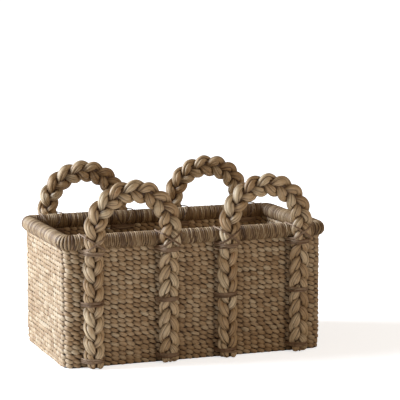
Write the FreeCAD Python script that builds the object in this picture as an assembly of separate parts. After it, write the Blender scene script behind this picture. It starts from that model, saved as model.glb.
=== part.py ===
"""Low rectangular storage basket, twined from water hyacinth, with four braided handles.

Frame: +X along the length, +Y to the back, +Z up. The origin is on the ground, under the
middle of the basket. Sizes are in millimetres. Each STEP file holds one named piece.
"""

import FreeCAD, Part

import math
import os

# ---- Woven body ----
BODY_LENGTH = 711.0  # over the outside of the wall, along X
BODY_DEPTH = 379.0  # over the outside of the wall, along Y
WALL_THICKNESS = 14.0
ROW_HEIGHT = 12.2  # one twined row of the wall
ROW_COUNT = 25
FLOOR_THICKNESS = 12.2

# ---- Stakes that the rows are twined round ----
STAKE_DIAMETER = 4.0
STAKE_PITCH = 20.0  # aimed at, then spread evenly round the wall
STAKE_CLEARANCE = 0.6  # between a stake and the row round it

# ---- Wire frame under the floor ----
WIRE_DIAMETER = 5.0  # the hoop round the foot
BAR_DIAMETER = 4.0  # the bars across the floor
BAR_PITCH = 75.0  # aimed at, between neighbouring bars
WIRE_CLEARANCE = 0.3  # between a wire and the groove that it lies in

# ---- Rim ----
RIM_CORE_DIAMETER = 33.0
RIM_WRAP_THICKNESS = 3.9
RIM_INNER_CORNER = 3.0  # radius of the rim's tightest line, inside its corners

# ---- Braided handles ----
BRAID_WIDTH = 56.0
BRAID_THICKNESS = 28.0
BRAID_EDGE_RADIUS = 9.0
BRAID_EDGE_SHARE = 0.4  # the most of the braid's thickness that one rounded edge may take
END_MARGIN = 45.7  # from the end of the wall's straight run to the outer leg's middle
MIDDLE_GAP = 160.0  # between the two handles, middle to middle of the near legs
FOOT_HEIGHT = 4.0  # of the braid's cut end above the ground
SWAY_RADIUS = 20.0  # of the two bends that take the braid out over the rim
RIM_GAP = 0.4  # between the rim and the braid in front of it
HINGE_ABOVE_RIM = 1.0  # from the rim's top to the line where a handle bends
ARCH_RISE_START = 6.0  # from that line to the start of the round arch
CRADLE_DROP = 6.0  # from that line down to the top of the leg
CRADLE_CLEARANCE = 0.3

# ---- Twine lashings ----
TWINE_THICKNESS = 1.6
TWINE_BAND_HEIGHT = 8.0
TWINE_CLEARANCE = 0.2  # to the braid and in the slots through the wall
TWINE_INSIDE_GAP = 0.8  # between the wall's inside and the twine
TWINE_BEND = 1.0  # inner radius where the twine turns a corner
FOOT_LASHING_HEIGHT = 21.0
MIDDLE_LASHING_HEIGHT = 167.0
RIM_LASHING_DROP = 9.0  # from the wall's top down to the lashing's middle

# ---- What follows from them ----
HALF_LENGTH = BODY_LENGTH / 2
HALF_DEPTH = BODY_DEPTH / 2
WALL_TOP = ROW_COUNT * ROW_HEIGHT
MIDDLE_OF_WALL = WALL_THICKNESS / 2
RIM_HEIGHT = WALL_TOP + RIM_CORE_DIAMETER / 2
RIM_RADIUS = RIM_CORE_DIAMETER / 2 + RIM_WRAP_THICKNESS
CORNER_RADIUS = MIDDLE_OF_WALL + RIM_RADIUS + RIM_INNER_CORNER  # of the wall's outside
STRAIGHT_X = HALF_LENGTH - CORNER_RADIUS  # half of the wall's straight run along X
STRAIGHT_Y = HALF_DEPTH - CORNER_RADIUS
HINGE_HEIGHT = RIM_HEIGHT + RIM_RADIUS + HINGE_ABOVE_RIM
WIRE_HEIGHT = WIRE_DIAMETER / 2 + WIRE_CLEARANCE
BRAID_EDGE = min(BRAID_EDGE_RADIUS, BRAID_EDGE_SHARE * BRAID_THICKNESS)
HOLE_REACH = STAKE_DIAMETER / 2 + STAKE_CLEARANCE
TINY = 1e-6  # for telling equal lengths from unequal ones
X, Y, Z = FreeCAD.Vector(1, 0, 0), FreeCAD.Vector(0, 1, 0), FreeCAD.Vector(0, 0, 1)


def save(name, shape):
    """Writes one piece, or a group of like pieces, as its own STEP file."""
    shape.exportStep("parts/" + name + ".step")


# ---- Outlines seen from above ----


def corner_arcs(inset, height):
    """The four corners of the wall's outside outline, moved in by inset, from front right."""
    radius = CORNER_RADIUS - inset
    arcs = []
    for side_x, side_y, start in ((1, -1, -90), (1, 1, 0), (-1, 1, 90), (-1, -1, 180)):
        centre = FreeCAD.Vector(side_x * STRAIGHT_X, side_y * STRAIGHT_Y, height)
        arcs.append(Part.makeCircle(radius, centre, Z, start, start + 90))
    return arcs


def outline(inset, height):
    """The wall's outside outline, moved in by inset, as a closed wire at a height."""
    arcs = corner_arcs(inset, height)
    edges = []
    for arc, following in zip(arcs, arcs[1:] + arcs[:1]):
        edges.append(arc)
        start = arc.valueAt(arc.LastParameter)
        edges.append(Part.makeLine(start, following.valueAt(following.FirstParameter)))
    return Part.Wire(edges)


def plate(wires, thickness):
    """A flat plate: the first wire is its edge, and the others are holes through it."""
    return Part.makeFace(wires, "Part::FaceMakerBullseye").extrude(Z * thickness)


def band(outer_inset, inner_inset, low, high):
    """A ring that follows the wall, between two insets and two heights."""
    return plate([outline(outer_inset, low), outline(inner_inset, low)], high - low)


def middle_runs():
    """The wall's middle line as edges, from the middle of the front round to the right."""
    arcs = corner_arcs(MIDDLE_OF_WALL, 0)
    front = FreeCAD.Vector(0, MIDDLE_OF_WALL - HALF_DEPTH, 0)
    runs = []
    for arc in arcs:
        before = runs[-1].valueAt(runs[-1].LastParameter) if runs else front
        runs.append(Part.makeLine(before, arc.valueAt(arc.FirstParameter)))
        runs.append(arc)
    runs.append(Part.makeLine(runs[-1].valueAt(runs[-1].LastParameter), front))
    return runs


def stake_spacing():
    """How many stakes there are, and how far apart along the middle of the wall."""
    length = sum(run.Length for run in middle_runs())
    count = 4 * round(length / STAKE_PITCH / 4)  # alike in each quarter of the basket
    return count, length / count


def stake_places():
    """The point under each stake, evenly spaced along the wall's middle line."""
    count, spacing = stake_spacing()
    runs = middle_runs()
    starts = [sum(run.Length for run in runs[:index]) for index in range(len(runs))]
    places = []
    for k in range(count):
        start, run = max(pair for pair in zip(starts, range(len(runs))) if pair[0] <= k * spacing)
        edge = runs[run]
        share = (k * spacing - start) / edge.Length
        places.append(edge.valueAt(edge.FirstParameter + share * (edge.LastParameter - edge.FirstParameter)))
    return places


def nearest_stake(x):
    """The stake of the front wall that stands nearest to x."""
    spacing = stake_spacing()[1]
    return round(x / spacing) * spacing


def leg_places():
    """The middles of a side's four braided legs, from left to right."""
    near, far = nearest_stake(MIDDLE_GAP / 2), nearest_stake(STRAIGHT_X - END_MARGIN)
    return [-far, -near, near, far]


def slot_offset():
    """From a leg's middle to the first gap between stakes that is clear of the braid."""
    spacing = stake_spacing()[1]
    needed = BRAID_WIDTH / 2 + TWINE_CLEARANCE + TWINE_THICKNESS / 2
    return (math.ceil(needed / spacing - 0.5) + 0.5) * spacing


# ---- Braid: its path, its section and its two kinds of piece ----


def sway():
    """Sideways shift of the braid over the rim, the turn of each bend, and its height."""
    shift = RIM_RADIUS - MIDDLE_OF_WALL + RIM_GAP
    turn = math.acos(1 - shift / (2 * SWAY_RADIUS))
    return shift, turn, 2 * SWAY_RADIUS * math.sin(turn)


def sway_end():
    """The height at which the braid has come out past the rim."""
    return RIM_HEIGHT - RIM_RADIUS / 2


def braid_plane():
    """Distance from the middle of the basket to the middle of an upright handle."""
    return HALF_DEPTH + sway()[0] + BRAID_THICKNESS / 2


def leg_side_view(x):
    """The leg seen from the side, as a face at x: up the wall, then out over the rim."""
    shift, turn, rise = sway()
    high, low = sway_end(), sway_end() - rise
    wall, half = HALF_DEPTH + BRAID_THICKNESS / 2, BRAID_THICKNESS / 2
    top = HINGE_HEIGHT - CRADLE_DROP

    def at(out, height):
        return FreeCAD.Vector(x, -out, height)

    def bend(out, height, radius, start, end):
        """Three points of a bend, its centre at (out, height), its turn from out to up."""
        angles = (start, (start + end) / 2, end)
        return [at(out + radius * math.cos(a), height + radius * math.sin(a)) for a in angles]

    edges = []
    for side in (-1, 1):
        first = bend(wall + SWAY_RADIUS, low, SWAY_RADIUS - side * half, math.pi, math.pi - turn)
        last = bend(wall + shift - SWAY_RADIUS, high, SWAY_RADIUS + side * half, -turn, 0)
        foot, head = at(wall + side * half, FOOT_HEIGHT), at(wall + shift + side * half, top)
        edges.append(Part.makeLine(foot, first[0]))
        edges.append(Part.Arc(*first).toShape())
        edges.append(Part.Arc(*last).toShape())
        edges.append(Part.makeLine(last[2], head))
    ends = [(FOOT_HEIGHT, wall), (top, wall + shift)]
    edges += [Part.makeLine(at(out - half, height), at(out + half, height)) for height, out in ends]
    return Part.Face(Part.Wire(Part.__sortEdges__(edges)))


def round_long_edges(solid):
    """Rounds the edges that run along a leg, on both of its flanks."""
    picked = []
    for edge in solid.Edges:
        box = edge.BoundBox
        if box.XLength < TINY and box.ZLength > TINY:
            picked.append(edge)
    return solid.makeFillet(BRAID_EDGE, picked)


def front_leg(x):
    """A braid's leg on the front wall, with the hollow that its arch bends in."""
    leg = leg_side_view(x - BRAID_WIDTH / 2).extrude(X * BRAID_WIDTH)
    leg = round_long_edges(leg)
    start = FreeCAD.Vector(x - BRAID_WIDTH, -braid_plane(), HINGE_HEIGHT)
    radius = BRAID_THICKNESS / 2 + CRADLE_CLEARANCE
    return leg.cut(Part.makeCylinder(radius, 2 * BRAID_WIDTH, start, X))


def rounded_block(low, high, radius):
    """An upright block between two corners, with its four upright edges rounded."""
    size = high - low
    block = Part.makeBox(size.x, size.y, size.z, low)
    uprights = [edge for edge in block.Edges if edge.BoundBox.ZLength > size.z - TINY]
    return block.makeFillet(radius, uprights)


def upright_braid(centre, height):
    """A short straight run of braid that stands on a point."""
    half = FreeCAD.Vector(BRAID_WIDTH / 2, BRAID_THICKNESS / 2, 0)
    return rounded_block(centre - half, centre + half + Z * height, BRAID_EDGE)


def front_arch(left, right):
    """A handle's free arch, from one bending line over to the other leg's."""
    middle, radius, y = (left + right) / 2, (right - left) / 2, -braid_plane()
    spring = HINGE_HEIGHT + ARCH_RISE_START
    above = upright_braid(FreeCAD.Vector(right, y, spring), ARCH_RISE_START)
    section = min(above.Faces, key=lambda face: face.CenterOfMass.z)
    arch = section.revolve(FreeCAD.Vector(middle, y, spring), Y * -1, 180)
    pieces = []
    for x in (left, right):
        foot = upright_braid(FreeCAD.Vector(x, y, HINGE_HEIGHT), ARCH_RISE_START)
        start = FreeCAD.Vector(x - BRAID_WIDTH / 2, y, HINGE_HEIGHT)
        pieces += [foot, Part.makeCylinder(BRAID_THICKNESS / 2, BRAID_WIDTH, start, X)]
    return arch.multiFuse(pieces).removeSplitter()


def behind(shape):
    """The same piece on the back wall."""
    return shape.rotated(FreeCAD.Vector(0, 0, 0), Z, 180)


# ---- Twine lashings and the slots that they pass through ----


def lashing_heights():
    """The middle heights of the foot, middle and rim lashings."""
    return {
        "foot_lashings": FOOT_LASHING_HEIGHT,
        "middle_lashings": MIDDLE_LASHING_HEIGHT,
        "rim_lashings": WALL_TOP - RIM_LASHING_DROP,
    }


def braid_reach(height):
    """How far the braid's outer face stands from the wall's outside at a height."""
    shift, turn, rise = sway()
    low, half = sway_end() - rise, BRAID_THICKNESS / 2
    inner, outer = SWAY_RADIUS - half, SWAY_RADIUS + half
    if height <= low:
        return BRAID_THICKNESS
    if height >= sway_end():
        return BRAID_THICKNESS + shift
    if height - low < inner * math.sin(turn):
        return BRAID_THICKNESS + inner - math.sqrt(inner**2 - (height - low) ** 2)
    left = sway_end() - height
    return BRAID_THICKNESS + shift - outer + math.sqrt(outer**2 - left**2)


def front_lashing(x, height):
    """One flat loop of twine round a front leg and through the wall behind it."""
    low, high = height - TWINE_BAND_HEIGHT / 2, height + TWINE_BAND_HEIGHT / 2
    half = slot_offset() - TWINE_THICKNESS / 2
    front = -HALF_DEPTH - braid_reach(high) - TWINE_CLEARANCE
    back = -HALF_DEPTH + WALL_THICKNESS + TWINE_INSIDE_GAP
    near = FreeCAD.Vector(x - half, front, low)
    far = FreeCAD.Vector(x + half, back, high)
    margin = FreeCAD.Vector(TWINE_THICKNESS, TWINE_THICKNESS, 0)
    loop = rounded_block(near - margin, far + margin, TWINE_BEND + TWINE_THICKNESS)
    return loop.cut(rounded_block(near, far, TWINE_BEND))


def front_slots(height):
    """The cuts through the front wall for the lashings at one height."""
    width = TWINE_THICKNESS + 2 * TWINE_CLEARANCE
    tall = TWINE_BAND_HEIGHT + 2 * TWINE_CLEARANCE
    deep = WALL_THICKNESS * 2
    cuts = []
    for x in leg_places():
        for side in (-1, 1):
            left = x + side * slot_offset() - width / 2
            corner = FreeCAD.Vector(left, -HALF_DEPTH - WALL_THICKNESS / 2, height - tall / 2)
            cuts.append(Part.makeBox(width, deep, tall, corner))
    return cuts


# ---- Wire frame under the floor ----


def bar_places(half):
    """Evenly spaced places between the wires at -half and +half, ends left out."""
    gaps = max(2, round(2 * half / BAR_PITCH))
    return [-half + 2 * half * k / gaps for k in range(1, gaps)]


def floor_bars():
    """The bars across the floor, and the bars along it that lie on them."""
    wire_x = HALF_LENGTH - MIDDLE_OF_WALL - WIRE_DIAMETER / 2
    wire_y = HALF_DEPTH - MIDDLE_OF_WALL - WIRE_DIAMETER / 2
    radius = BAR_DIAMETER / 2
    cross, along = [], []
    for x in bar_places(STRAIGHT_X):
        start = FreeCAD.Vector(x, -wire_y, WIRE_HEIGHT)
        cross.append(Part.makeCylinder(radius, 2 * wire_y, start, Y))
    for y in bar_places(STRAIGHT_Y):
        start = FreeCAD.Vector(-wire_x, y, WIRE_HEIGHT + BAR_DIAMETER)
        along.append(Part.makeCylinder(radius, 2 * wire_x, start, X))
    return cross, along


def bar_grooves():
    """The grooves in the floor and the lowest row that the bars lie in."""
    wide = BAR_DIAMETER + 2 * WIRE_CLEARANCE
    middle_x, middle_y = HALF_LENGTH - MIDDLE_OF_WALL, HALF_DEPTH - MIDDLE_OF_WALL
    cross_top = WIRE_HEIGHT + BAR_DIAMETER / 2 + WIRE_CLEARANCE
    cuts = []
    for x in bar_places(STRAIGHT_X):
        corner = FreeCAD.Vector(x - wide / 2, -middle_y, 0)
        cuts.append(Part.makeBox(wide, 2 * middle_y, cross_top, corner))
    for y in bar_places(STRAIGHT_Y):
        corner = FreeCAD.Vector(-middle_x, y - wide / 2, 0)
        cuts.append(Part.makeBox(2 * middle_x, wide, cross_top + BAR_DIAMETER, corner))
    return cuts


def ring_of_wire(radius, inset, height):
    """A round wire or pole bent to follow the wall, joined run by run."""
    runs = []
    for edge in outline(inset, height).Edges:
        begin = edge.valueAt(edge.FirstParameter)
        section = Part.Face(Part.Wire(Part.makeCircle(radius, begin, edge.tangentAt(edge.FirstParameter))))
        if isinstance(edge.Curve, Part.Circle):
            runs.append(section.revolve(edge.Curve.Center, Z, 90))
        else:
            runs.append(section.extrude(edge.valueAt(edge.LastParameter) - begin))
    return runs[0].multiFuse(runs[1:]).removeSplitter()


# ---- The pieces ----


def wall_row(index):
    """One twined row of the wall, with its stake holes, slots and, at the foot, grooves."""
    low = index * ROW_HEIGHT
    wires = [outline(0, low), outline(WALL_THICKNESS, low)]
    for place in stake_places():
        wires.append(Part.Wire(Part.makeCircle(HOLE_REACH, place + Z * low, Z)))
    row = plate(wires, ROW_HEIGHT)
    cuts = []
    for height in lashing_heights().values():
        reach = TWINE_BAND_HEIGHT / 2 + TWINE_CLEARANCE
        if low < height + reach and low + ROW_HEIGHT > height - reach:
            slots = front_slots(height)
            cuts += slots + [behind(slot) for slot in slots]
    if index == 0:
        groove = WIRE_DIAMETER / 2 + WIRE_CLEARANCE
        top = WIRE_HEIGHT + WIRE_DIAMETER / 2 + WIRE_CLEARANCE
        cuts += [band(MIDDLE_OF_WALL - groove, MIDDLE_OF_WALL + groove, 0, top)] + bar_grooves()
    return row.cut(cuts) if cuts else row


def stakes():
    """The upright rods inside the wall, from the foot hoop up to the rim's pole."""
    foot = WIRE_HEIGHT + WIRE_DIAMETER / 2
    rods = []
    for place in stake_places():
        rods.append(Part.makeCylinder(STAKE_DIAMETER / 2, WALL_TOP - foot, place + Z * foot, Z))
    return Part.Compound(rods)


def floor_panel():
    """The woven floor, inside the lowest row, with grooves for its bars underneath."""
    return plate([outline(WALL_THICKNESS, 0)], FLOOR_THICKNESS).cut(bar_grooves())


def rim_wrap():
    """The strip wound round the rim's pole, open below where the wall comes up to it."""
    skin = ring_of_wire(RIM_RADIUS, MIDDLE_OF_WALL, RIM_HEIGHT)
    pole = ring_of_wire(RIM_CORE_DIAMETER / 2, MIDDLE_OF_WALL, RIM_HEIGHT)
    below = band(0, WALL_THICKNESS, WALL_TOP - 2 * RIM_WRAP_THICKNESS, RIM_HEIGHT)
    return skin.cut([pole, below])


def build():
    """Makes every piece and writes it."""
    os.makedirs("parts", exist_ok=True)
    cross, along = floor_bars()
    save("floor_weave", floor_panel())
    save("floor_cross_bars", Part.Compound(cross))
    save("floor_long_bars", Part.Compound(along))
    save("foot_hoop", ring_of_wire(WIRE_DIAMETER / 2, MIDDLE_OF_WALL, WIRE_HEIGHT))
    for index in range(ROW_COUNT):
        save("wall_row_%02d" % (index + 1), wall_row(index))
    save("wall_stakes", stakes())
    save("rim_pole", ring_of_wire(RIM_CORE_DIAMETER / 2, MIDDLE_OF_WALL, RIM_HEIGHT))
    save("rim_wrap", rim_wrap())
    places = leg_places()
    for index, x in enumerate(places):
        number = index + 1
        leg = front_leg(x)
        save("front_leg_%d" % number, leg)
        save("back_leg_%d" % (len(places) + 1 - number), behind(leg))
    for side, (left, right) in (("left", places[:2]), ("right", places[2:])):
        arch = front_arch(left, right)
        other = {"left": "right", "right": "left"}[side]
        save("front_%s_handle" % side, arch)
        save("back_%s_handle" % other, behind(arch))
    for name, height in lashing_heights().items():
        loops = [front_lashing(x, height) for x in places]
        save(name, Part.Compound(loops + [behind(loop) for loop in loops]))


build()
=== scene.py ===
# %% [markdown]
# # A twined basket with braided handles
#
# The real basket is made by hand from the dried stems of water hyacinth. Pairs of stems are
# twisted round upright stakes to make the walls, a flat leaf strip is wound round a pole to make
# the rim, and thick three-strand plaits are tied on as handles. This lesson builds each of them as
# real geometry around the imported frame, so that every stem casts its own shadow.

# %% Load the frame
import bpy
import numpy as np
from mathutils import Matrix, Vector


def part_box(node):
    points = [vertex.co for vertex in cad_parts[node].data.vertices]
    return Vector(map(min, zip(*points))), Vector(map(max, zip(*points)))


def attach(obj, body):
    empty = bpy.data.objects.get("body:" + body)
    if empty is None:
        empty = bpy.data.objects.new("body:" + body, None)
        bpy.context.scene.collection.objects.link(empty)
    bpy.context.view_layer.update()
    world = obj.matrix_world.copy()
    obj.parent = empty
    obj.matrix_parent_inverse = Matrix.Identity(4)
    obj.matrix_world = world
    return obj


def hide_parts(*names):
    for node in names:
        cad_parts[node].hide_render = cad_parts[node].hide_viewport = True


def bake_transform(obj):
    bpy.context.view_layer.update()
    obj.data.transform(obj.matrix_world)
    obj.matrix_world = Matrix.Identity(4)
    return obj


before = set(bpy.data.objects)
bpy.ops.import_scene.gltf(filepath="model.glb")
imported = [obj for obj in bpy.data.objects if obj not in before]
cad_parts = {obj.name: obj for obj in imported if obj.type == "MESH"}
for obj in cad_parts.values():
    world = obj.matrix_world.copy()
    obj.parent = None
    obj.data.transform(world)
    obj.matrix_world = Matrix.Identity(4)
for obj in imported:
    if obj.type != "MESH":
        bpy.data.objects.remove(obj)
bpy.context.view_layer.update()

# %% [markdown]
# ## Sizes that the pieces share
#
# Places come from the frame, so the looks can't drift away from the model that moves. Only what
# the frame can't tell, such as how many stakes the rows go round, is a named value here. Blender
# works in metres, so a size in millimetres is written as a number times MM.

# %% Sizes
MM = 0.001
STAKE_COUNT = 104
WALL_THICKNESS = 14 * MM

ROWS = sorted(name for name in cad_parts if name.startswith("wall_row"))
row_low, row_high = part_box(ROWS[0])
rim_low, rim_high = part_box("rim_wrap")
HALF_X, HALF_Y = row_high.x, row_high.y
ROW_HEIGHT = row_high.z - row_low.z
RIM_RADIUS = rim_high.x - (HALF_X - WALL_THICKNESS / 2)
RIM_HEIGHT = rim_high.z - RIM_RADIUS
RIM_INNER_CORNER = 3 * MM  # radius of the rim's tightest line, inside its corners
PATH_CORNER = RIM_RADIUS + RIM_INNER_CORNER  # corner radius of the wall's middle line
print("half length %.4f, half depth %.4f, row %.4f" % (HALF_X, HALF_Y, ROW_HEIGHT))
print("rim radius %.4f at height %.4f" % (RIM_RADIUS, RIM_HEIGHT))

# %% [markdown]
# ## The line that every row follows
#
# Seen from above, the wall's middle line is a rectangle with round corners. One function turns a
# distance along it into a point and the direction out of the basket, and serves the rows and the
# rim alike. Distance starts at the middle of the front and runs to the right.


# %% The wall's middle line
def wall_line(distance, corner=PATH_CORNER):
    """Points (n, 2) and outward directions (n, 2) at distances along the wall's middle line."""
    flat_x = HALF_X - WALL_THICKNESS / 2 - corner
    flat_y = HALF_Y - WALL_THICKNESS / 2 - corner
    quarter = np.pi * corner / 2
    end, face = [quarter, 2 * flat_y, quarter], 2 * flat_x
    lengths = np.array([flat_x] + end + [face] + end + [flat_x])
    ends = np.cumsum(lengths)
    distance = np.mod(distance, ends[-1])
    run = np.minimum(np.searchsorted(ends, distance, side="right"), len(lengths) - 1)
    into = distance - (ends[run] - lengths[run])
    into = np.where(run == 0, into + flat_x, into)
    side = (run + 1) // 2 % 4  # 0 front, 1 right, 2 back, 3 left, and the corner before each
    turn = side * np.pi / 2 - np.pi / 2
    is_corner = run % 2 == 1
    turn = np.where(is_corner, turn - np.pi / 2 + into / corner, turn)
    out = np.stack([np.cos(turn), np.sin(turn)], 1)
    along = np.stack([-out[:, 1], out[:, 0]], 1)
    corner_middles = np.array([[-1, -1], [1, -1], [1, 1], [-1, 1]]) * [flat_x, flat_y]
    straight = np.where(is_corner, 0.0, into)
    return corner_middles[side] + along * straight[:, None] + out * corner, out


def wall_length(corner=PATH_CORNER):
    """The length once round that line."""
    flats = 2 * HALF_X + 2 * HALF_Y - 2 * WALL_THICKNESS - 4 * corner
    return 2 * flats + 2 * np.pi * corner


PITCH = wall_length() / STAKE_COUNT
print("once round is %.3f m, and the stakes stand %.2f mm apart" % (wall_length(), PITCH / MM))

# %% [markdown]
# ## From a line to a stem
#
# A stem is a tube with a flattened section that changes along its length. Blender's curve bevels
# give a tube too, but not a section that widens, tilts and creases as it goes, so the mesh is
# written directly. Each point keeps facts that the finish needs later: how far along the stem it
# is, how far round it, which shade that stretch of plant has, and how proud it stands, which sets
# how much painted shade it gets.

# %% Waviness
WAVE_SHARES = (1, 0.61, 0.37)  # wavelengths that never quite line up
WAVE_SIZES = (1, 0.6, 0.4)
WAVE_PEAK = 1.4  # about the most that the three reach together
ANY_PHASE = 6.28  # a full turn, near enough for a random start


def wavy(distance, wavelength, seed, amount=1.0, once_round=0.0):
    """Smooth seeded noise along a distance. On a closed line it meets its own start."""
    total = 0.0
    phases = np.random.default_rng(seed).uniform(0, ANY_PHASE, 3)
    for share, size, phase in zip(WAVE_SHARES, WAVE_SIZES, phases):
        waves = 1 / (wavelength * share)
        if once_round:
            waves = max(1, round(once_round * waves)) / once_round
        total = total + size * np.sin(2 * np.pi * distance * waves + phase)
    return amount * total / WAVE_PEAK


# %% Stem meshes
# Painted shade: a stem's colour is darkened in its creases, more for deeper folds.
CREASE_SHADE = 2.4  # how much darker a crease gets for its depth


def unit(vectors):
    """Vectors scaled to length one."""
    return vectors / np.maximum(np.linalg.norm(vectors, axis=1, keepdims=True), 1e-12)


def square_to(vectors, tangent):
    """Unit vectors, turned square to a line's direction."""
    return unit(vectors - tangent * np.sum(vectors * tangent, 1, keepdims=True))


def stem(centres, face, wide, thick, closed, tone, proud, creases=None, sides=10, square=2.3):
    """A stem along centres (n, 3).

    face is the way its flat side looks, wide and thick are its half sizes, square is how boxy its
    section is (2 is an ellipse), proud is 0 where the finish paints full shade and 1 on top, and
    creases lower proud in their folds, so that shade is painted there too.
    """
    count = len(centres)
    if closed:
        tangent = unit(np.roll(centres, -1, 0) - np.roll(centres, 1, 0))
        step = np.linalg.norm(centres - np.roll(centres, 1, 0), axis=1)
    else:
        tangent = unit(np.gradient(centres, axis=0))
        step = np.r_[0, np.linalg.norm(np.diff(centres, axis=0), axis=1)]
    face = square_to(face, tangent)
    across = np.cross(tangent, face)
    angle = np.arange(sides) * 2 * np.pi / sides
    power = 2 / square
    q = np.sign(np.cos(angle)) * np.abs(np.cos(angle)) ** power
    h = np.sign(np.sin(angle)) * np.abs(np.sin(angle)) ** power
    height = h[None, :] * np.ones((count, 1))
    proud = proud[:, None] * np.ones((1, sides))
    # creases reshape the section and also paint shade in the folds they make
    if creases is not None:
        fold = creases(np.cumsum(step)[:, None], q[None, :] * np.sign(h + 0.01)[None, :])
        height = height * (1 + fold)
        proud = proud * np.clip(1 + CREASE_SHADE * fold, 0, 1)
    points = (
        centres[:, None, :]
        + across[:, None, :] * (q[None, :] * wide[:, None])[:, :, None]
        + face[:, None, :] * (height * thick[:, None])[:, :, None]
    )
    ring = np.arange(sides)
    rows = np.arange(count if closed else count - 1)
    here, up = rows[:, None] * sides, (rows[:, None] + 1) % count * sides
    near, beside = ring[None, :], (ring[None, :] + 1) % sides
    quads = np.stack([here + near, here + beside, up + beside, up + near], 2).reshape(-1, 4)
    caps = []
    if not closed:
        caps = [list(ring[::-1]), list((count - 1) * sides + ring)]
    facts = np.zeros((count, sides, 3))
    facts[:, :, 0] = np.cumsum(step)[:, None]
    facts[:, :, 1] = angle[None, :] / (2 * np.pi)
    facts[:, :, 2] = tone[:, None]
    return {
        "points": points.reshape(-1, 3),
        "quads": quads,
        "caps": caps,
        "facts": facts.reshape(-1, 3),
        "proud": proud.ravel(),
    }


def piece(name, stems, material):
    """One object made of several stems, with the facts that its finish reads."""
    keys = ("points", "facts", "proud")
    joined = {key: np.concatenate([part[key] for part in stems]) for key in keys}
    offset, faces = 0, []
    for part in stems:
        faces += (part["quads"] + offset).tolist()
        faces += [[index + offset for index in cap] for cap in part["caps"]]
        offset += len(part["points"])
    mesh = bpy.data.meshes.new(name)
    mesh.from_pydata(joined["points"].tolist(), [], faces)
    facts = mesh.attributes.new("stem_facts", "FLOAT_VECTOR", "POINT")
    facts.data.foreach_set("vector", joined["facts"].astype(np.float32).ravel())
    # stem_proud is how proud each point stands, which sets how much painted shade the finish gives
    # it
    proud = mesh.attributes.new("stem_proud", "FLOAT", "POINT")
    proud.data.foreach_set("value", joined["proud"].astype(np.float32))
    mesh.polygons.foreach_set("use_smooth", np.ones(len(mesh.polygons), bool))
    mesh.materials.append(material)
    mesh.validate()
    made = bpy.data.objects.new(name, mesh)
    bpy.context.scene.collection.objects.link(made)
    return made


# %% [markdown]
# ## Finishes
#
# Everything you see is dried plant, so the finishes are cousins. What gives plant away is that no
# two stems have the same shade, that fine ribs run along each stem and never across it, and that
# the deep places between stems are dark. Shade comes from a number kept on each stretch of stem,
# ribs from noise stretched along the stem, and the dark places from real shadow and painted shade.


# %% Colour and node helpers
def linear(hex_colour):
    """A colour written in sRGB hex, as the linear numbers that a shader wants."""
    values = [int(hex_colour[i : i + 2], 16) / 255 for i in (1, 3, 5)]
    return [v / 12.92 if v <= 0.04045 else ((v + 0.055) / 1.055) ** 2.4 for v in values] + [1.0]


def add(tree, kind, settings=None, **inputs):
    """Adds a node: settings are its properties, inputs its sockets, each a value or a link."""
    made = tree.nodes.new("ShaderNode" + kind)
    for key, value in (settings or {}).items():
        setattr(made, key, value)
    for key, value in inputs.items():
        socket = made.inputs[int(key[1:])] if key[0] == "_" else made.inputs[key.replace("_", " ")]
        if isinstance(value, bpy.types.NodeSocket):
            tree.links.new(value, socket)
        else:
            socket.default_value = value
    return made


def ramp(tree, factor, stops):
    """A colour ramp with its stops as (place, hex colour)."""
    made = add(tree, "ValToRGB", None, Fac=factor)
    elements = made.color_ramp.elements
    while len(elements) < len(stops):
        elements.new(0.5)
    for element, (place, colour) in zip(elements, stops):
        element.position, element.color = place, linear(colour)
    return made.outputs["Color"]


# %% [markdown]
# ### Dried stem
#
# Water hyacinth dries to a matte, slightly waxy straw. The eye reads it by its fine ribs, by pale
# ridges where the skin is rubbed, and by rusty streaks where the stem was thick. Ribs are really
# about 0.5 mm apart; they are drawn two or more times as coarse, because finer ones don't show.

# %% Dried stem finish
RIB_LENGTH = 24  # a rib is this many times as long as it is wide
RUST_LONG, RUST_WIDE = 30 * MM, 14 * MM  # a rusty streak's size, along the stem and across it
RUST_SHARE = 0.4  # the most that rust covers the stem's own shade
RIB_DEPTH = 0.9 * MM
PLANT_IOR = 1.45


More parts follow.
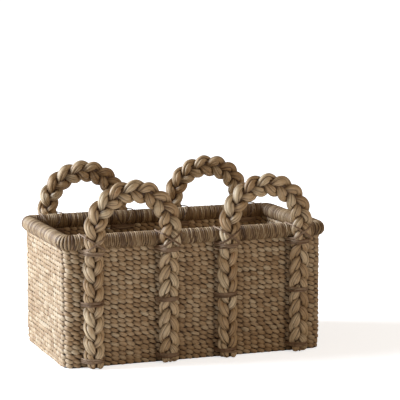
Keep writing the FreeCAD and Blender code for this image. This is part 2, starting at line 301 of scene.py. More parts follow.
def dried_plant(name, shades, rust, painted_shade, rib_mm, rib_share, rough, around_mm):
    """A finish for dried stem or leaf, from its shades, its ribs' spacing and its girth.

    rust is the colour of its streaks, painted_shade the dark colour painted in as shade where a
    stem lies deep or creased, and rib_share how strongly the ribs show.
    """
    made = bpy.data.materials.new(name)
    made.use_nodes = True
    tree = made.node_tree
    tree.nodes.clear()
    facts = add(tree, "Attribute", {"attribute_name": "stem_facts"})
    proud = add(tree, "Attribute", {"attribute_name": "stem_proud"})
    parts = add(tree, "SeparateXYZ", None, Vector=facts.outputs["Vector"])
    tone = parts.outputs["Z"]
    times, mixed = {"operation": "MULTIPLY"}, {"data_type": "RGBA"}
    # metres along and across, and a jump for each stretch of plant, so that no two look the same
    across = add(tree, "Math", times, _0=parts.outputs["Y"], _1=around_mm * MM).outputs[0]
    jump = add(tree, "Math", times, _0=tone, _1=3.0).outputs[0]
    place = add(tree, "CombineXYZ", None, X=parts.outputs["X"], Y=across, Z=jump).outputs[0]

    def noise(long, wide, detail, rough):
        scaled = add(tree, "VectorMath", times, _0=place, _1=(1 / long, 1 / wide, 1.0)).outputs[0]
        grain = {"Vector": scaled, "Scale": 1.0, "Detail": detail, "Roughness": rough}
        return add(tree, "TexNoise", None, **grain).outputs[0]

    ribs = noise(RIB_LENGTH * rib_mm * MM, rib_mm * MM, 3.0, 0.6)
    streaks = noise(RUST_LONG, RUST_WIDE, 4.0, 0.65)
    shade = ramp(tree, tone, [(i / (len(shades) - 1), colour) for i, colour in enumerate(shades)])
    rib_tint = ramp(tree, ribs, [(0.3, "#8E8072"), (0.5, "#D8D2CA"), (0.68, "#FFFFFF")])
    darken = dict(mixed, blend_type="MULTIPLY")
    ribbed = add(tree, "Mix", darken, Factor=rib_share, _6=shade, _7=rib_tint).outputs[2]
    rusty = ramp(tree, streaks, [(0.56, "#000000"), (0.74, "#FFFFFF")])
    rust_share = add(tree, "Math", times, _0=rusty, _1=RUST_SHARE).outputs[0]
    rusted = add(tree, "Mix", mixed, Factor=rust_share, _6=ribbed, _7=linear(rust)).outputs[2]
    # painted shade: the lower proud is, the more of the dark painted_shade colour is mixed in
    deep = ramp(tree, proud.outputs["Fac"], [(0.0, "#FFFFFF"), (0.75, "#000000")])
    base = add(tree, "Mix", mixed, Factor=deep, _6=rusted, _7=linear(painted_shade)).outputs[2]
    bump = add(tree, "Bump", None, Strength=0.8 * rib_share, Distance=RIB_DEPTH, Height=ribs)
    look = {"Base_Color": base, "Roughness": rough, "Normal": bump.outputs[0], "IOR": PLANT_IOR}
    shader = add(tree, "BsdfPrincipled", None, **look)
    out = add(tree, "OutputMaterial")
    tree.links.new(shader.outputs[0], out.inputs["Surface"])
    return made


# %% The four plant finishes
# matte straw whose stitches differ a little in shade, with dark gaps between them that are partly
# real shadow and partly painted shade
TWINED_STEM = dried_plant(
    "Twined water hyacinth, dried and matte",
    shades=["#A68660", "#B5956D", "#BE9F78", "#C6AA84", "#CFB793"],
    rust="#8E6236",
    painted_shade="#2E1D10",
    rib_mm=1.4,
    rib_share=0.6,
    rough=0.62,
    around_mm=28,
)
# paler and a little shinier, so that the plaits stand out from the wall; the paleness is partly
# painted light, since the proud plaits catch more light
BRAIDED_STEM = dried_plant(
    "Braided water hyacinth, dried and waxy",
    shades=["#B18F65", "#C2A176", "#CCAD83", "#D4B88F", "#DFC69F"],
    rust="#A0602A",
    painted_shade="#3C210D",
    rib_mm=2.6,
    rib_share=0.45,
    rough=0.52,
    around_mm=60,
)
# browner, partly as painted shade for the fine gaps between turns, and with the most contrast from
# turn to turn, so the rim reads as wound
WOUND_LEAF = dried_plant(
    "Wound leaf strip, dried",
    shades=["#6A4E31", "#8F704C", "#9C7D55", "#AA8C64", "#C2A57E"],
    rust="#63401F",
    painted_shade="#20140A",
    rib_mm=1.2,
    rib_share=0.5,
    rough=0.58,
    around_mm=12,
)
# darker than the plaits that it ties, so that each lashing shows
TWINE = dried_plant(
    "Twisted leaf twine, darkened",
    shades=["#6E5236", "#86684A", "#94775A", "#A58A6B"],
    rust="#6B4020",
    painted_shade="#2E1D10",
    rib_mm=0.9,
    rib_share=0.6,
    rough=0.66,
    around_mm=8,
)
print("finishes:", len(bpy.data.materials))

# %% [markdown]
# ## Twined rows
#
# Twining uses two stems at once. Each passes outside one stake and inside the next, and between
# two stakes they cross with half a twist. Seen from outside, each pass is one slanting stitch with
# the shape of an almond. So each stem is a cosine in and out of the wall and a sine up and down,
# half a turn behind its partner, and its section is widest where it passes a stake. A picture of a
# weave on a flat wall would be quicker, but its edge and its shadows would stay flat.

# %% A twined pair
STITCH_SWING = 3.6 * MM  # how far a stem's middle goes in and out
STITCH_RISE = 2.9 * MM  # how far it goes up and down
STITCH_HALF_HEIGHT = 5.7 * MM
STITCH_HALF_THICKNESS = 3.5 * MM
SAMPLES_PER_STITCH = 9
# Painted shade: nearer than DEEP to the wall's middle, a stem's colour is painted darker.
DEEP = 6.4 * MM  # nearer than this to the wall's middle, a stem lies in shade
NARROWEST, THINNEST = 0.74, 0.8  # a stem's share of its full size half way between two stakes
SIZE_RANGE = (0.86, 1.14)  # from stitch to stitch
LIFT_RANGE, BULGE_RANGE = (-0.5 * MM, 0.5 * MM), (-0.5 * MM, 0.8 * MM)
TIP_RANGE = (-0.25, 0.25)  # how far a stitch's face tips up or down
DRIFT = 0.5  # how far, in radians, a row's crossings stand off the row below's


def stitch_picker(phase, loop):
    """A function that gives random numbers, each the same all along one stitch."""
    stitch = np.floor((phase + np.pi / 2) / np.pi).astype(int)
    stitch = stitch % STAKE_COUNT if loop else stitch - stitch.min()

    def numbers(seed, low, high):
        return np.random.default_rng(seed).uniform(low, high, stitch.max() + 1)[stitch]

    return numbers


def stitch_ribs(along, q):
    """A stem's flattened side is fluted, and the flutes wander."""
    return 0.07 * np.cos(q * 8 + 2.5 * np.sin(along * 60))


def twined_pair(line, out, height, distance, seed, loop=0.0, tuck=0.0, lowest=-1.0, sides=12):
    """Two stems twisted round the stakes along line (n, 2).

    loop is the line's length if it is closed, tuck is how far the pair turns in towards the
    basket's middle, and no point goes below lowest.
    """
    made = []
    drift = np.random.default_rng(seed + 3).uniform(-DRIFT, DRIFT)
    drift = drift + wavy(distance, 0.33, seed + 4, 0.35, loop)
    for half in (0, 1):
        phase = np.pi * distance / PITCH + np.pi * half + drift
        numbers = stitch_picker(phase, loop)
        swing = np.cos(phase)
        size = 1 + (numbers(seed + half, *SIZE_RANGE) - 1) * np.abs(swing)
        lift = numbers(seed + half + 10, *LIFT_RANGE) * np.abs(swing)
        bulge = numbers(seed + half + 20, *BULGE_RANGE) * np.abs(swing)
        away = np.sign(swing) * np.abs(swing) ** 0.85 * (STITCH_SWING + bulge) - tuck
        rise = -STITCH_RISE * np.sin(phase) + lift + wavy(distance, 0.16, seed + 30, 0.6 * MM, loop)
        centres = np.zeros((len(distance), 3))
        centres[:, :2] = line + out * away[:, None]
        centres[:, 2] = height + rise
        face = np.zeros_like(centres)
        face[:, :2] = out
        face[:, 2] = numbers(seed + half + 40, *TIP_RANGE)
        wide = STITCH_HALF_HEIGHT * size * (NARROWEST + (1 - NARROWEST) * np.abs(swing))
        thick = STITCH_HALF_THICKNESS * (THINNEST + (1 - THINNEST) * np.abs(swing))
        tone = numbers(seed + half + 50, 0, 1)
        part = stem(centres, face, wide, thick, bool(loop), tone, size, stitch_ribs, sides)
        # painted shade: a stem's colour darkens as it passes nearer the wall's middle than DEEP,
        # into the gaps
        spots = part["points"].reshape(len(line), -1, 3)[:, :, :2]
        reach = np.abs(np.sum((spots - line[:, None]) * out[:, None], 2) + tuck)
        part["proud"] = part["proud"] * np.clip(reach / DEEP, 0, 1).ravel()
        part["points"][:, 2] = np.maximum(part["points"][:, 2], lowest)
        made.append(part)
    return made


# %% [markdown]
# ### The wall's rows
#
# The rows lie one on another like courses of brick. The two lowest turn in a little towards the
# floor, and the lowest is pressed flat where the basket stands.

# %% The wall's rows
TUCKS = {0: 2.6 * MM, 1: 0.8 * MM}  # the lowest rows turn in under the basket
GROUND = 0.3 * MM  # nothing goes lower than this
samples = STAKE_COUNT * SAMPLES_PER_STITCH
around = np.arange(samples) * wall_length() / samples
wall_points, wall_out = wall_line(around)
for index, name in enumerate(ROWS):
    height = (index + 0.5) * ROW_HEIGHT
    tuck = TUCKS.get(index, 0.0)
    seed = 1000 + 100 * index
    stems = twined_pair(wall_points, wall_out, height, around, seed, wall_length(), tuck, GROUND)
    row = piece("twined_row_%02d" % (index + 1), stems, TWINED_STEM)
    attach(row, "basket")
    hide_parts(name)
print("wall:", len(ROWS), "rows of", samples, "samples a stem")

# %% [markdown]
# ## The floor
#
# The floor is the same twining, worked in straight rows from end to end before the stakes are bent
# up for the walls. Each straight row ends where the rounded corner lets it. It is seen only from
# above, through the mouth, so its mesh is lighter than the wall's.

# %% Floor rows
floor_low, floor_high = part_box("floor_weave")
floor_middle = (floor_low.z + floor_high.z) / 2
floor_count = int(round((floor_high.y - floor_low.y) / ROW_HEIGHT))
floor_pitch = (floor_high.y - floor_low.y) / floor_count
floor_corner = PATH_CORNER - WALL_THICKNESS / 2
FLOOR_STEP = PITCH / 6
FLOOR_FLATNESS = 0.8  # the floor's stitches stand this much as high as the wall's
floor_stems = []
for index in range(floor_count):
    y = floor_low.y + (index + 0.5) * floor_pitch
    past = max(0.0, abs(y) + floor_pitch / 2 - (floor_high.y - floor_corner))
    into_corner = np.sqrt(max(0.0, floor_corner**2 - min(past, floor_corner) ** 2))
    reach = floor_high.x - floor_corner + into_corner
    x = np.arange(-reach, reach, FLOOR_STEP)
    row_line, row_out = np.stack([x, 0 * x], 1), np.stack([0 * x, 0 * x - 1], 1)
    pair = twined_pair(row_line, row_out, 0.0, x, 7000 + 60 * index, sides=8)
    for part in pair:  # stand the wall's twining down flat: out of the wall becomes up
        turned = part["points"][:, [0, 2, 1]] * np.array([1, 1, -FLOOR_FLATNESS])
        turned = turned + np.array([0, y, floor_middle])
        turned[:, 2] = np.maximum(turned[:, 2], GROUND)
        part["points"] = turned
        part["quads"] = part["quads"][:, ::-1]
        part["caps"] = [cap[::-1] for cap in part["caps"]]
    floor_stems += pair
floor = piece("twined_floor", floor_stems, TWINED_STEM)
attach(floor, "basket")
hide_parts("floor_weave")
print("floor:", floor_count, "rows")

# %% [markdown]
# ## The rim
#
# A flat leaf strip is wound round the pole, turn against turn. One long helix gives that, as long
# as its turns aren't perfect: each leans a little, some ride up on their neighbours, and at the
# corners they bunch up inside and fan out outside.

# %% The wound strip
TURN_PITCH = 5.5 * MM
TURN_SAMPLES = 20
STRIP_HALF_WIDTH = 2.5 * MM
STRIP_HALF_THICKNESS = 1.8 * MM
STRIP_SINK = 1.9 * MM  # from the rim's surface to the middle of the strip
SHINGLE = 0.16  # how far each turn tips on to the one before it
TURN_LEAN, RIDE_UP, TURN_WIDTH = (-0.35, 0.35), (-0.6, 0.5), (0.82, 1.1)  # from turn to turn
turns = int(round(wall_length() / TURN_PITCH))
winding = np.arange(turns * TURN_SAMPLES) * 2 * np.pi / TURN_SAMPLES
turn_index = np.floor(winding / (2 * np.pi)).astype(int)
middle = wall_length() * winding / (2 * np.pi * turns)
lean = wavy(middle, 0.07, 51, 1.5 * MM, wall_length())
lean += np.random.default_rng(52).uniform(*TURN_LEAN, turns)[turn_index] * MM
strip_at = middle + lean * np.cos(winding + 0.6)
strip_line, strip_out = wall_line(strip_at)
ride_up = np.random.default_rng(53).uniform(*RIDE_UP, turns)[turn_index] * MM
strip_radius = RIM_RADIUS - STRIP_SINK + ride_up
strip = np.zeros((len(winding), 3))
strip[:, :2] = strip_line + strip_out * (np.cos(winding) * strip_radius)[:, None]
strip[:, 2] = RIM_HEIGHT + np.sin(winding) * strip_radius
strip_face = np.zeros_like(strip)
strip_face[:, :2] = strip_out * np.cos(winding)[:, None]
strip_face[:, 2] = np.sin(winding)
strip_face += SHINGLE * np.stack([-strip_out[:, 1], strip_out[:, 0], 0 * middle], 1)
in_corner = np.abs(np.abs(strip_out[:, 0]) - 0.5) < 0.499
fan = np.clip(1 + np.cos(winding) * strip_radius / PATH_CORNER, 0.3, 1.35)
strip_wide = STRIP_HALF_WIDTH * np.where(in_corner, fan, 1.0)
strip_wide = strip_wide * np.random.default_rng(54).uniform(*TURN_WIDTH, turns)[turn_index]
strip_tone = np.random.default_rng(55).uniform(0, 1, turns)[turn_index]


def leaf_folds(along, q):
    """Two folds that run along a leaf strip."""
    return 0.1 * np.cos(q * 7.5 + np.sin(along * 40)) - 0.08


every = np.ones(len(winding))
strip_thick = STRIP_HALF_THICKNESS * every
rim_strip = stem(strip, strip_face, strip_wide, strip_thick, True, strip_tone, every, leaf_folds)
rim = piece("rim_winding", [rim_strip], WOUND_LEAF)
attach(rim, "basket")
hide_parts("rim_wrap")
print("rim:", turns, "turns of strip")

# %% [markdown]
# ## Braided handles
#
# Each handle is one plait: up a leg, over in an arch, and down the next leg. In a three-strand
# plait every strand swings from edge to edge while it goes over and under twice as often. That is
# a figure of eight drawn out along the path. The flat of the strand turns with that figure, so the
# strand wraps round the plait's edges the way a real one does.


# %% The line of a handle
BRAID_LENGTH = 112 * MM  # one strand's whole swing from edge to edge and back
BRAID_SWING = 16.6 * MM
BRAID_DEPTH = 8.0 * MM
STRAND_HALF_WIDTH = 11.8 * MM
STRAND_HALF_THICKNESS = 7.6 * MM
LONG_OVER = 0.14  # against the wall, a strand's crossings are this much out of step
STRAND_LEAN = 0.5  # how far, in radians, a strand's flat side turns to the plait's edge
STRAND_SIDES, STRAND_SQUARE = 36, 1.8
BRAID_STEP = 2.2 * MM
SWAY_START, SWAY_END = 52 * MM, 10 * MM  # below the rim's middle, where a leg moves out over it
lash_heights = {
    name: sum(corner.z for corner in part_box(name)) / 2
    for name in ("foot_lashings", "middle_lashings", "rim_lashings")
}


def handle_line(left_leg, right_leg, arch):
    """Points (n, 3) along a front handle's plait, and their distances (n) from its foot."""
    boxes = [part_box(name) for name in (left_leg, right_leg, arch)]
    (leg_a, leg_b), (other_a, other_b), (arch_a, arch_b) = boxes
    left, right = (leg_a.x + leg_b.x) / 2, (other_a.x + other_b.x) / 2
    depth = (arch_b.y - arch_a.y) / 2
    outer, inner = arch_a.y + depth, leg_b.y - depth
    radius = (right - left) / 2
    spring = arch_b.z - radius - (leg_b.x - leg_a.x) / 2
    foot = leg_a.z - 2 * MM
    sway_low, sway_high = RIM_HEIGHT - SWAY_START, RIM_HEIGHT - SWAY_END
    heights = np.arange(foot, spring, MM)
    rising = np.clip((heights - sway_low) / (sway_high - sway_low), 0, 1)
    leg_y = inner + (outer - inner) * rising * rising * (3 - 2 * rising)
    turn = np.arange(0, np.pi, MM / radius)
    middle = (left + right) / 2
    up = np.stack([0 * heights + left, leg_y, heights], 1)
    arch_x, arch_z = middle - radius * np.cos(turn), spring + radius * np.sin(turn)
    over = np.stack([arch_x, 0 * turn + outer, arch_z], 1)
    down = np.stack([0 * heights + right, leg_y, heights], 1)[::-1]
    points = np.vstack([up, over, down])
    gone = np.r_[0, np.cumsum(np.linalg.norm(np.diff(points, axis=0), axis=1))]
    even = np.arange(0, gone[-1], BRAID_STEP)
    return np.stack([np.interp(even, gone, points[:, i]) for i in range(3)], 1), even


# each fold's place across the strand, how far and how fast it wanders, its width and its depth
FOLDS = ((0.0, 0.3, 19, 0.1, 0.36), (-0.55, -0.2, 31, 0.09, 0.28), (0.62, -0.15, 27, 0.09, 0.24))
BORDER_START, BORDER_DEPTH = 0.78, 0.3  # the strand's thinned edges


def stem_folds(seed):
    """Creases along a bundle of flattened stems, which wander as they go."""
    shifts = np.random.default_rng(seed).uniform(0, 6, 3)

    def folds(along, q):
        total = -BORDER_DEPTH * np.clip((np.abs(q) - BORDER_START) / (1 - BORDER_START), 0, 1)
        for (place, far, fast, width, depth), shift in zip(FOLDS, shifts):
            wander = place + far * np.sin(along * fast + shift)
            total = total - depth * np.exp(-(((q - wander) / width) ** 2))
        return total

    return folds


def turned_round(part):
    """The same stem after half a turn about the basket's middle."""
    return dict(part, points=part["points"] * np.array([-1, -1, 1]))


# %% A plait
PINCH, PINCH_REACH = 0.2, 8 * MM  # how much, and how near, a lashing draws the plait in
END_TAPER = 9 * MM
ARCH_FULLER, FULLER_OVER = 0.07, 50 * MM  # free of the wall, a plait fills out by this share
PLUMPER, EDGE_THINNER = 0.12, 0.14
# Painted shade: the heart is a core under the strands, painted nearly all in the dark shade colour,
# so the gaps read as shadow.
HEART_HALF_WIDTH, HEART_HALF_THICKNESS = 11 * MM, 3.5 * MM  # dark stems inside, behind the gaps


def plait(points, along, seed):
    """The three strands of one plait along a handle's line, drawn in where the twine ties it."""
    nearest = np.min([np.abs(points[:, 2] - height) for height in lash_heights.values()], 0)
    tied = 1 - PINCH * np.exp(-((nearest / PINCH_REACH) ** 2))
    on_wall = 1 - np.clip((points[:, 2] - RIM_HEIGHT) / FULLER_OVER, 0, 1)
    fuller = 1 + ARCH_FULLER * (1 - on_wall)
    tangent = unit(np.gradient(points, axis=0))
    away = square_to(np.tile([0.0, -1.0, 0.0], (len(points), 1)), tangent)
    across = np.cross(away, tangent)
    strands = []
    for k in range(3):
        wobble = wavy(along, 0.3, seed + k, 0.10)
        phase = 2 * np.pi * (along / BRAID_LENGTH + k / 3) + wobble
        phase = phase + LONG_OVER * on_wall * np.cos(2 * phase)
        end = np.clip(np.minimum(along, along[-1] - along) / END_TAPER, 0, 1)
        sideways = BRAID_SWING * np.sin(phase) * (0.75 + 0.25 * end) * tied * fuller
        outward = BRAID_DEPTH * np.sin(2 * phase) * tied
        centres = points + across * sideways[:, None] + away * outward[:, None]
        lean = STRAND_LEAN * np.sin(2 * phase) * np.sin(phase)
        face = across * np.sin(lean)[:, None] + away * np.cos(lean)[:, None]
        edge = np.abs(np.sin(phase))
        numbers = np.random.default_rng(seed + 7 * k).uniform(0, 1, 200)
        index = np.floor(phase / np.pi).astype(int) % 200
        plump = 1 + PLUMPER * (numbers[index] - 0.5) * edge
        spread = 0.55 + 0.45 * np.sin(np.pi * edge**1.2 * 0.6)
        wide = STRAND_HALF_WIDTH * spread * plump * tied * fuller * (0.6 + 0.4 * end)
        thick = STRAND_HALF_THICKNESS * (1 - EDGE_THINNER * edge) * tied * (0.5 + 0.5 * end)
        tone = np.random.default_rng(seed + 11 * k + 3).uniform(0, 1, 200)[index]
        # painted shade: a strand is darker towards the plait's middle, where strands cross, and
        # full colour at its edges
        proud = np.clip(0.3 + edge, 0, 1)
        folds = stem_folds(seed + k)
        section = STRAND_SIDES, STRAND_SQUARE
        made = stem(centres, face, wide, thick, False, tone, proud, folds, *section)
        made["points"][:, 2] = np.maximum(made["points"][:, 2], GROUND)
        strands.append(made)
    every = np.ones(len(points))
    wide, thick = HEART_HALF_WIDTH * tied, HEART_HALF_THICKNESS * every
    # the heart, with proud 0.1, is painted almost wholly in the dark shade colour
    return strands + [stem(points, away, wide, thick, False, 0.2 * every, 0.1 * every)]


# %% [markdown]
# ### The four handles
#
# The back of the basket is its front turned half round, so each line is found once and used twice,
# with its own strands each time. On the real basket a handle bends just above the rim. Here each
# plait is one mesh, with its place baked into its points.

# %% The four handles
OTHER = {"left": "right", "right": "left"}
surfaces = {}  # each plait's points as if it were in front, for the twine to lie on
for number, (arch, legs) in enumerate({"left": (1, 2), "right": (3, 4)}.items()):
    front_legs = ["front_leg_%d" % leg for leg in legs]
    line, along = handle_line(*front_legs, "front_%s_handle" % arch)
    for side in ("front", "back"):
        # half a turn about the middle takes the front's left handle to the back's right one
        is_back = side == "back"
        handle_name = "%s_%s_handle" % (side, OTHER[arch] if is_back else arch)
        leg_names = ["%s_leg_%d" % (side, 5 - leg if is_back else leg) for leg in legs]
        strands = plait(line, along, 300 + 40 * number + 17 * is_back)
        surfaces[side, number] = np.vstack([strand["points"] for strand in strands])
        if is_back:
            strands = [turned_round(strand) for strand in strands]
        braid = piece(handle_name.replace("handle", "braid"), strands, BRAIDED_STEM)
        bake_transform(braid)
        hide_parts(handle_name, *leg_names)
        print(braid.name, "is %.2f m of plait" % along[-1])

# %% [markdown]
# ## Twine lashings
#
# Thin twine ties each leg to the wall in three places: a few turns near the foot, a few half way,
# and under the rim, where more turns cross in an X over the plait and go over the rim. Twine is
# pulled tight, so in front it touches only what stands proudest and runs straight in between, as a
# rubber band would. Each turn is a closed loop of points with a smooth curve through them.

# %% Loops of twine
def smooth_loop(knots, step=2.5 * MM):
    """A closed smooth line through knots (n, 3), by Catmull-Rom."""
    pieces = []
    count = len(knots)
    for i in range(count):
        a, b, c, d = (knots[(i + j) % count] for j in (-1, 0, 1, 2))
        t = np.linspace(0, 1, max(3, int(np.linalg.norm(c - b) / step)), endpoint=False)[:, None]
        square, cube = 2 * a - 5 * b + 4 * c - d, 3 * b - a - 3 * c + d
        pieces.append(0.5 * (2 * b + (c - a) * t + square * t**2 + cube * t**3))
    return np.vstack(pieces)


TWINE_HALF_WIDTH = 1.9 * MM
TWINE_HALF_THICKNESS = 1.1 * MM
WALL_FACE = -HALF_Y
WALL_BACK = -HALF_Y + WALL_THICKNESS
TAUT_KNOTS = 14


def taut(start, end, surface, reach=3.5 * MM):
    """A line from start to end in front of the points of a surface, as tight as a string.

    Seen from the side, it is the hull of those points that lie within reach of the line.
    """
    start, end = np.array(start), np.array(end)
    way = (end - start)[[0, 2]]
    length = np.linalg.norm(way)
    way = way / length
    offset = surface[:, [0, 2]] - start[[0, 2]]
    u, off = offset @ way, offset @ np.array([-way[1], way[0]])
    near = (np.abs(off) < reach) & (u > 0) & (u < length)
    spots = sorted(zip(u[near], surface[near, 1] - TWINE_HALF_THICKNESS)) + [(length, end[1])]
    hull = [(0.0, start[1])]
    for spot in spots:
        while len(hull) > 1:
            (u0, y0), (u1, y1), (u2, y2) = hull[-2], hull[-1], spot
            if (y1 - y0) * (u2 - u0) <= (y2 - y0) * (u1 - u0):
                break
            hull.pop()
        hull.append(spot)
    even = np.linspace(0, length, TAUT_KNOTS)
    depth = np.interp(even, [spot[0] for spot in hull], [spot[1] for spot in hull])
    return [(start[0] + way[0] * u, y, start[2] + way[1] * u) for u, y in zip(even, depth)]


def twine_loop(knots, seed, middle):
    """One turn of twine, flat side facing away from the middle of what it ties."""
    line = smooth_loop(np.array(knots))
    tone = np.full(len(line), np.random.default_rng(seed).uniform())
    size = 1 + 0 * tone
    wide, thick = TWINE_HALF_WIDTH * size, TWINE_HALF_THICKNESS * size
    return stem(line, line - middle, wide, thick, True, tone, size, stitch_ribs, 10)


# %% Turns of twine
TIE_HALF = 30 * MM  # from a leg's middle to the gaps that its twine goes through
LEVEL_TILT = 2.2  # the most, in millimetres, that one end of a level turn is off its height
ARC_START, ARC_TOP, ARC_END = np.radians([105, 60, -15])  # over the rim, from the front to inside


def level_turn(x, height, surface, seed):
    """A turn of twine round a leg and through the wall."""
    tilt = np.random.default_rng(seed).uniform(-LEVEL_TILT, LEVEL_TILT) * MM
    left, right = x - TIE_HALF, x + TIE_HALF
    front = WALL_FACE - 1 * MM
    knots = taut((left, front, height + tilt), (right, front, height - tilt), surface)
    for way, side in ((-tilt, right), (tilt, left)):
        spots = [(side, WALL_FACE + 5 * MM, height + way), (side, WALL_BACK + 2 * MM, height + way)]
        knots += spots if side == right else spots[::-1]
    return twine_loop(knots, seed, np.array([x, WALL_FACE, height]))


def crossing_turn(x, side, shift, surface, seed):
    """A turn that crosses a leg slantwise, goes over the rim and comes back through the wall."""
    half = TIE_HALF * side
    rim_y = -HALF_Y + WALL_THICKNESS / 2
    clear = RIM_RADIUS + TWINE_HALF_THICKNESS
    low = RIM_HEIGHT - RIM_RADIUS - 2 * MM + shift
    start = (x - half, WALL_FACE - 1 * MM, low)
    turn = np.linspace(ARC_START, ARC_END, 8)
    across = x + half * np.interp(turn, [ARC_END, ARC_TOP, ARC_START], [0.45, 0.95, 1.0])
    arc_y, arc_z = rim_y + clear * np.cos(turn), RIM_HEIGHT + clear * np.sin(turn)
    over_rim = list(zip(across, arc_y, arc_z))
    # the rim's own face, as points that the twine has to stay in front of
    angles, places = np.radians(np.linspace(90, 200, 23)), x + half * np.linspace(-1, 1, 25)
    angle, place = [grid.ravel() for grid in np.meshgrid(angles, places)]
    face_y, face_z = rim_y + RIM_RADIUS * np.cos(angle), RIM_HEIGHT + RIM_RADIUS * np.sin(angle)
    rim_face = np.column_stack([place, face_y, face_z])
    inside = [
        (x + half * 0.1, WALL_BACK + 5 * MM, RIM_HEIGHT - clear * 0.75),
        (x - half * 0.4, WALL_BACK + 3 * MM, (RIM_HEIGHT - clear + low) / 2),
        (x - half, WALL_BACK + 2 * MM, low - 2 * MM),
        (x - half, WALL_FACE + 5 * MM, low),
    ]
    in_front = taut(start, over_rim[0], np.vstack([surface, rim_face]))
    middle = np.array([x, rim_y, RIM_HEIGHT - 8 * MM])
    return twine_loop(in_front + over_rim[1:] + inside, seed, middle)


# %% [markdown]
# ### The lashings
#
# Every leg gets the same four level turns at three heights, each a little off level. The one under
# the rim gets four crossing turns too: two each way.

# %% The lashings
LEVEL_OFFSETS = (-4.4, -1.6, 1.4, 4.2)  # millimetres from the lashing's middle
CROSSINGS = ((1, 0), (1, 3.4), (-1, 1.5), (-1, 4.6))  # the way each rises, and millimetres higher
for name, height in lash_heights.items():
    loops = []
    for side, number in surfaces:
        for leg in (2 * number + 1, 2 * number + 2):
            low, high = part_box("front_leg_%d" % leg)
            x = (low.x + high.x) / 2
            surface, seed = surfaces[side, number], 9000 + 50 * leg + int(height / MM)
            tied = []
            for i, offset in enumerate(LEVEL_OFFSETS):
                tied.append(level_turn(x, height + offset * MM, surface, seed + i))
            if name == "rim_lashings":
                for i, (way, shift) in enumerate(CROSSINGS):
                    tied.append(crossing_turn(x, way, shift * MM, surface, seed + 10 + i))
            loops += tied if side == "front" else [turned_round(loop) for loop in tied]
    lashing = piece(name.replace("lashings", "twine"), loops, TWINE)
    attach(lashing, "basket")
    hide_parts(name)
    print(name, "has", len(loops), "turns at %.0f mm" % (height / MM))

# %% [markdown]
# ## What stays as the frame has it
#
# The stakes, the rim's pole and the wires are plain round bars on the real basket too, so they
# stay as they are and only get a finish. Hardly any of them shows, but what does show between two
# stitches has to be cane, not a grey bar.

# %% Cane and wire finishes
def plain_finish(name, dark, light, rough, grain_mm):
    """A finish for a bar, with two shades of grain in object space."""
    made = bpy.data.materials.new(name)
    made.use_nodes = True
    tree = made.node_tree
    tree.nodes.clear()
    where = add(tree, "TexCoord")
    size = {"Scale": 1 / (grain_mm * MM), "Detail": 3.0}
    grain = add(tree, "TexNoise", None, Vector=where.outputs["Object"], **size).outputs[0]
    colour = ramp(tree, grain, [(0.35, dark), (0.65, light)])
    bump = add(tree, "Bump", None, Strength=0.3, Distance=0.2 * MM, Height=grain).outputs[0]
    shader = add(tree, "BsdfPrincipled", None, Base_Color=colour, Roughness=rough, Normal=bump)
    out = add(tree, "OutputMaterial")
    tree.links.new(shader.outputs[0], out.inputs["Surface"])
    return made


# bare brown cane, with the grain of wood in the gaps of the weave
CANE = plain_finish("Peeled cane, bare", "#4A3420", "#6E5234", rough=0.6, grain_mm=6)
# dark brown and a little glossy, so that the wires pass for shadow under the weave
WIRE = plain_finish("Brown lacquer on wire", "#2A1D12", "#35261A", rough=0.45, grain_mm=9)
wires = ("floor_cross_bars", "floor_long_bars", "foot_hoop")
for finish, names in ((CANE, ("wall_stakes", "rim_pole")), (WIRE, wires)):
    for name in names:
        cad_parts[name].data.materials.clear()
        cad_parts[name].data.materials.append(finish)
    print(finish.name, "on", ", ".join(names))

# %% [markdown]
# ## Floor, light and camera
#
# A white studio floor runs out to a white surround. Close to the basket it takes a soft shadow,
# made paler by painted light: a glow that the camera alone sees. Further out the glow grows until
# the floor can't be told from the background.

# %% Stage
scene = bpy.context.scene
scene.view_settings.view_transform = "Standard"
FLOOR_REACH = 40.0
GLOW_FROM, GLOW_TO = 0.5, 2.0  # metres from the basket's middle
GLOW_NEAR, GLOW_FAR = 0.72, 0.97
floor_mesh = bpy.data.meshes.new("studio_floor")
corners = [(x * FLOOR_REACH, y * FLOOR_REACH, 0) for x, y in ((-1, -1), (1, -1), (1, 1), (-1, 1))]
floor_mesh.from_pydata(corners, [], [(0, 1, 2, 3)])
studio = bpy.data.objects.new("studio_floor", floor_mesh)
studio.location.z = -0.3 * MM  # a hair below the basket's foot
scene.collection.objects.link(studio)
paper = bpy.data.materials.new("White studio paper")
paper.use_nodes = True
tree = paper.node_tree
tree.nodes.clear()
seen = add(tree, "LightPath")
where = add(tree, "TexCoord")
gone = add(tree, "VectorMath", {"operation": "LENGTH"}, _0=where.outputs["Object"])
far = add(tree, "MapRange", {"interpolation_type": "SMOOTHSTEP"}, Value=gone.outputs["Value"])
far.inputs["From Min"].default_value, far.inputs["From Max"].default_value = GLOW_FROM, GLOW_TO
far.inputs["To Min"].default_value, far.inputs["To Max"].default_value = GLOW_NEAR, GLOW_FAR
camera_ray = seen.outputs["Is Camera Ray"]
# painted light: a glow seen only by the camera, which pales the shadow near the basket and whitens
# the floor further out
shown = add(tree, "Math", {"operation": "MULTIPLY"}, _0=far.outputs[0], _1=camera_ray)
matte = add(tree, "BsdfDiffuse", None, Color=linear("#EDE7DD"))
glow = add(tree, "Emission", None, Color=linear("#FFFFFF"), Strength=shown.outputs[0])
both = add(tree, "AddShader", None, _0=matte.outputs[0], _1=glow.outputs[0])
tree.links.new(both.outputs[0], add(tree, "OutputMaterial").inputs["Surface"])
floor_mesh.materials.append(paper)
print("studio floor:", 2 * FLOOR_REACH, "m across")

# %% [markdown]
# ### Light
#
# The main light is a large soft box to the left and a little behind. It leaves the long front in
# gentle shade and picks out every stitch from the side. A weak warm fill on the right keeps the
# shaded gaps brown, and the surround lights everything softly but shows itself as plain white.

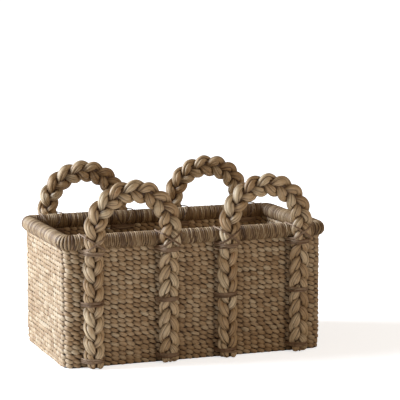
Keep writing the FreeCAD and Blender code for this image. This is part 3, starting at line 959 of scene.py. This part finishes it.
# %% Light
world = bpy.data.worlds.new("studio")
scene.world = world
world.use_nodes = True
tree = world.node_tree
tree.nodes.clear()
seen = add(tree, "LightPath")
soft = add(tree, "Background", None, Color=linear("#FFF0E1"), Strength=0.2).outputs[0]
white = add(tree, "Background", None, Color=linear("#FFFFFF"), Strength=1.0).outputs[0]
mixed = add(tree, "MixShader", None, _0=seen.outputs["Is Camera Ray"], _1=soft, _2=white)
tree.links.new(mixed.outputs[0], add(tree, "OutputWorld").inputs["Surface"])


def soft_box(name, place, aim, size, power, colour):
    """A square area light at place, facing aim."""
    data = bpy.data.lights.new(name, "AREA")
    data.shape, data.size, data.energy = "SQUARE", size, power
    data.color = linear(colour)[:3]
    made = bpy.data.objects.new(name, data)
    made.location = place
    made.rotation_euler = (Vector(aim) - Vector(place)).to_track_quat("-Z", "Y").to_euler()
    scene.collection.objects.link(made)
    print(name, "light of %.0f W" % power)


soft_box("key", (-3.5, 1.1, 2.3), aim=(0, 0, 0.2), size=2.2, power=499, colour="#D4E5FF")
soft_box("fill", (2.6, -3.6, 1.7), aim=(0, 0, 0.15), size=2.0, power=38, colour="#FFF0DF")

# %% [markdown]
# ### Camera
#
# The camera is a long lens well back and a little above the rim, turned so that the left end of
# the basket shows. From far off, the basket's edges stay nearly parallel.

# %% Camera
CAMERA_PLACE = Vector((-1.5275, -4.3, 1.0353))
CAMERA_TURN, CAMERA_TILT = np.radians(20.5), np.radians(8.06)
SENSOR_WIDTH, FOCAL_LENGTH = 36, 156.2  # both in millimetres
level = np.cos(CAMERA_TILT)
look = Vector((np.sin(CAMERA_TURN) * level, np.cos(CAMERA_TURN) * level, -np.sin(CAMERA_TILT)))
lens = bpy.data.cameras.new("camera")
lens.sensor_width, lens.lens = SENSOR_WIDTH, FOCAL_LENGTH
camera = bpy.data.objects.new("camera", lens)
camera.location = CAMERA_PLACE
camera.rotation_euler = look.to_track_quat("-Z", "Y").to_euler()
scene.collection.objects.link(camera)
scene.camera = camera
print("camera at", [round(value, 3) for value in CAMERA_PLACE])
